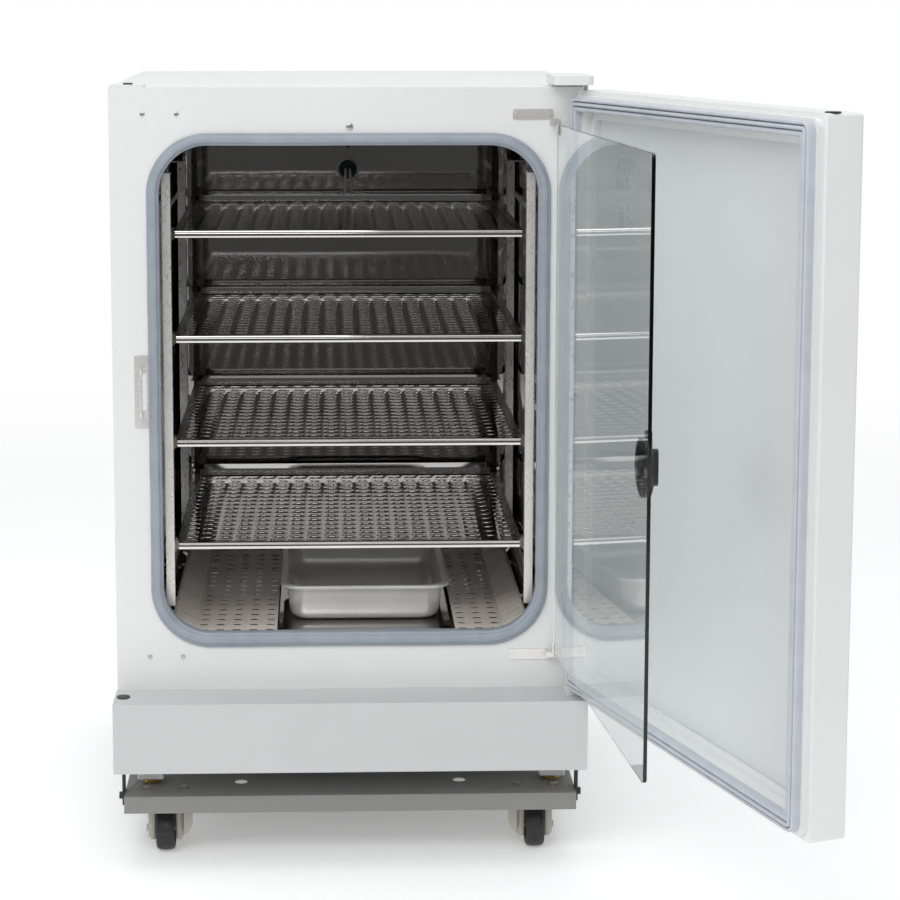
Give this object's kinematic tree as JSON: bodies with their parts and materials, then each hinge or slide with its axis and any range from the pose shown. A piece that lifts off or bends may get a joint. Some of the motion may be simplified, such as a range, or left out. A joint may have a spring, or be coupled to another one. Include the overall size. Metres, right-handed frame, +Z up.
{
  "type": "laboratory incubator",
  "caption": "Insulated cabinet incubator with an outer door, an inner glass door, sliding perforated shelves, a humidity pan and a roller base with castors.",
  "frame": {"origin": "on the floor, under the middle of the bounding box with both doors standing open", "axes": "+Z up; -Y is the front that the user faces, where the doors are; +X is the side where the doors are hinged"},
  "size_m": [0.8776, 1.2742, 1.0725],
  "materials": {
    "painted_white": "fine textured powder coat",
    "painted_grey": "satin powder coat",
    "polished_steel": "mirror polished stainless steel",
    "satin_steel": "satin stainless steel",
    "zinc_steel": "bright zinc plating",
    "brass": "turned",
    "grey_silicone": "soft matt silicone",
    "teal_silicone": "soft matt silicone",
    "door_seal": "soft ribbed vinyl",
    "black_plastic": "fine grained",
    "white_plastic": "smooth",
    "beige_plastic": "moulded nylon",
    "door_panel": "smooth pale grey",
    "clear_glass": "clear toughened glass",
    "black_rubber": "smooth tread",
    "foam": "rigid polyurethane foam",
    "circuit_board": "board and boxed supply"
  },
  "bodies": {
    "root": {"cabinet_shell": "painted_white", "front_frame": "painted_white", "insulation": "foam", "chamber_liner": "polished_steel", "chamber_gasket": "grey_silicone", "rack_posts": "satin_steel", "shelf_rails": "polished_steel", "rack_knobs": "black_plastic", "floor_baffles": "satin_steel", "side_baffles": "satin_steel", "sensor_stopper": "teal_silicone", "sensor_probes": "satin_steel", "fan_motor": "zinc_steel", "fan_guard": "satin_steel", "base_housing": "painted_white", "console_cover": "painted_white", "electronics": "circuit_board", "rear_panel": "painted_white", "mains_inlet": "black_plastic", "gas_inlet": "brass", "hinge_brackets": "painted_white", "hinge_pins": "zinc_steel", "blanking_plugs": "black_plastic", "glass_hinge_plates": "polished_steel", "frame_screws": "zinc_steel", "strike_plate": "polished_steel", "roller_base": "painted_grey", "base_straps": "black_plastic", "levelling_feet": "zinc_steel", "castor_plates": "zinc_steel", "castor_bolts": "zinc_steel"},
    "outer_door": {"door_shell": "painted_white", "door_liner": "white_plastic", "door_panel": "door_panel", "door_gasket": "door_seal", "door_handle": "black_plastic", "control_bezel": "black_plastic"},
    "key_a": {"key_1": "white_plastic"},
    "key_b": {"key_2": "white_plastic"},
    "glass_door": {"glass_panel": "clear_glass", "glass_clamps": "polished_steel", "latch_base": "black_plastic"},
    "latch": {"latch_handle": "black_plastic"},
    "water_pan": {"water_pan": "satin_steel"},
    "fan": {"fan_impeller": "black_plastic"},
    "rocker": {"power_rocker": "black_plastic"},
    "brake_left": {"brake_left": "beige_plastic"},
    "brake_right": {"brake_right": "beige_plastic"},
    "shelf_1": {"shelf_1": "polished_steel"},
    "shelf_2": {"shelf_2": "polished_steel"},
    "shelf_3": {"shelf_3": "polished_steel"},
    "shelf_4": {"shelf_4": "polished_steel"},
    "castor_front_left": {"fork_front_left": "beige_plastic"},
    "wheel_front_left": {"wheel_front_left": "black_rubber"},
    "castor_front_right": {"fork_front_right": "beige_plastic"},
    "wheel_front_right": {"wheel_front_right": "black_rubber"},
    "castor_rear_left": {"fork_rear_left": "beige_plastic"},
    "wheel_rear_left": {"wheel_rear_left": "black_rubber"},
    "castor_rear_right": {"fork_rear_right": "beige_plastic"},
    "wheel_rear_right": {"wheel_rear_right": "black_rubber"}
  },
  "joints": [
    {"name": "outer_door_hinge", "type": "hinge", "parent": "root", "child": "outer_door", "pos_m": [0.19268, -0.03744, 0.6], "axis": [0, 0, 1], "range_deg": [-108.7, 0]},
    {"name": "glass_door_hinge", "type": "hinge", "parent": "root", "child": "glass_door", "pos_m": [0.15968, -0.02194, 0.6], "axis": [0, 0, 1], "range_deg": [-95.25, 0.05]},
    {"name": "latch_turn", "type": "hinge", "parent": "glass_door", "child": "latch", "pos_m": [0.2088, -0.53962, 0.648], "axis": [0.9959, 0.0906, 0], "range_deg": [0, 90]},
    {"name": "shelf_1_slide", "type": "slide", "parent": "root", "child": "shelf_1", "axis": [0, -1, 0], "range_m": [0, 0.34]},
    {"name": "shelf_2_slide", "type": "slide", "parent": "root", "child": "shelf_2", "axis": [0, -1, 0], "range_m": [0, 0.34]},
    {"name": "shelf_3_slide", "type": "slide", "parent": "root", "child": "shelf_3", "axis": [0, -1, 0], "range_m": [0, 0.34]},
    {"name": "shelf_4_slide", "type": "slide", "parent": "root", "child": "shelf_4", "axis": [0, -1, 0], "range_m": [0, 0.34]},
    {"name": "water_pan_slide", "type": "slide", "parent": "root", "child": "water_pan", "axis": [0, -1, 0], "range_m": [0, 0.09]},
    {"name": "fan_spin", "type": "hinge", "parent": "root", "child": "fan", "pos_m": [-0.11932, 0.41006, 0.99], "axis": [0, 0, 1], "continuous": true},
    {"name": "rocker_tilt", "type": "hinge", "parent": "root", "child": "rocker", "pos_m": [-0.24932, 0.60806, 0.185], "axis": [1, 0, 0], "range_deg": [-8, 8]},
    {"name": "key_a_press", "type": "slide", "parent": "outer_door", "child": "key_a", "axis": [-0.9472, -0.3206, 0], "range_m": [0, 0.0015], "stiffness_N_per_m": 400},
    {"name": "key_b_press", "type": "slide", "parent": "outer_door", "child": "key_b", "axis": [-0.9472, -0.3206, 0], "range_m": [0, 0.0015], "stiffness_N_per_m": 400},
    {"name": "castor_front_left_swivel", "type": "hinge", "parent": "root", "child": "castor_front_left", "pos_m": [-0.37532, 0.03806, 0.07], "axis": [0, 0, 1], "continuous": true},
    {"name": "wheel_front_left_spin", "type": "hinge", "parent": "castor_front_left", "child": "wheel_front_left", "pos_m": [-0.37532, 0.01306, 0.03], "axis": [1, 0, 0], "continuous": true},
    {"name": "castor_front_right_swivel", "type": "hinge", "parent": "root", "child": "castor_front_right", "pos_m": [0.13668, 0.03806, 0.07], "axis": [0, 0, 1], "continuous": true},
    {"name": "wheel_front_right_spin", "type": "hinge", "parent": "castor_front_right", "child": "wheel_front_right", "pos_m": [0.13668, 0.01306, 0.03], "axis": [1, 0, 0], "continuous": true},
    {"name": "castor_rear_left_swivel", "type": "hinge", "parent": "root", "child": "castor_rear_left", "pos_m": [-0.37532, 0.54006, 0.07], "axis": [0, 0, 1], "continuous": true},
    {"name": "wheel_rear_left_spin", "type": "hinge", "parent": "castor_rear_left", "child": "wheel_rear_left", "pos_m": [-0.37532, 0.51506, 0.03], "axis": [1, 0, 0], "continuous": true},
    {"name": "castor_rear_right_swivel", "type": "hinge", "parent": "root", "child": "castor_rear_right", "pos_m": [0.13668, 0.54006, 0.07], "axis": [0, 0, 1], "continuous": true},
    {"name": "wheel_rear_right_spin", "type": "hinge", "parent": "castor_rear_right", "child": "wheel_rear_right", "pos_m": [0.13668, 0.51506, 0.03], "axis": [1, 0, 0], "continuous": true},
    {"name": "brake_left_pedal", "type": "hinge", "parent": "castor_front_left", "child": "brake_left", "pos_m": [-0.37532, 0.01306, 0.03], "axis": [1, 0, 0], "range_deg": [0, 14]},
    {"name": "brake_right_pedal", "type": "hinge", "parent": "castor_front_right", "child": "brake_right", "pos_m": [0.13668, 0.01306, 0.03], "axis": [1, 0, 0], "range_deg": [0, 14]}
  ],
  "couplings": [
    {"joint": "glass_door_hinge", "follows": "outer_door_hinge", "ratio": 0.8758}
  ]
}
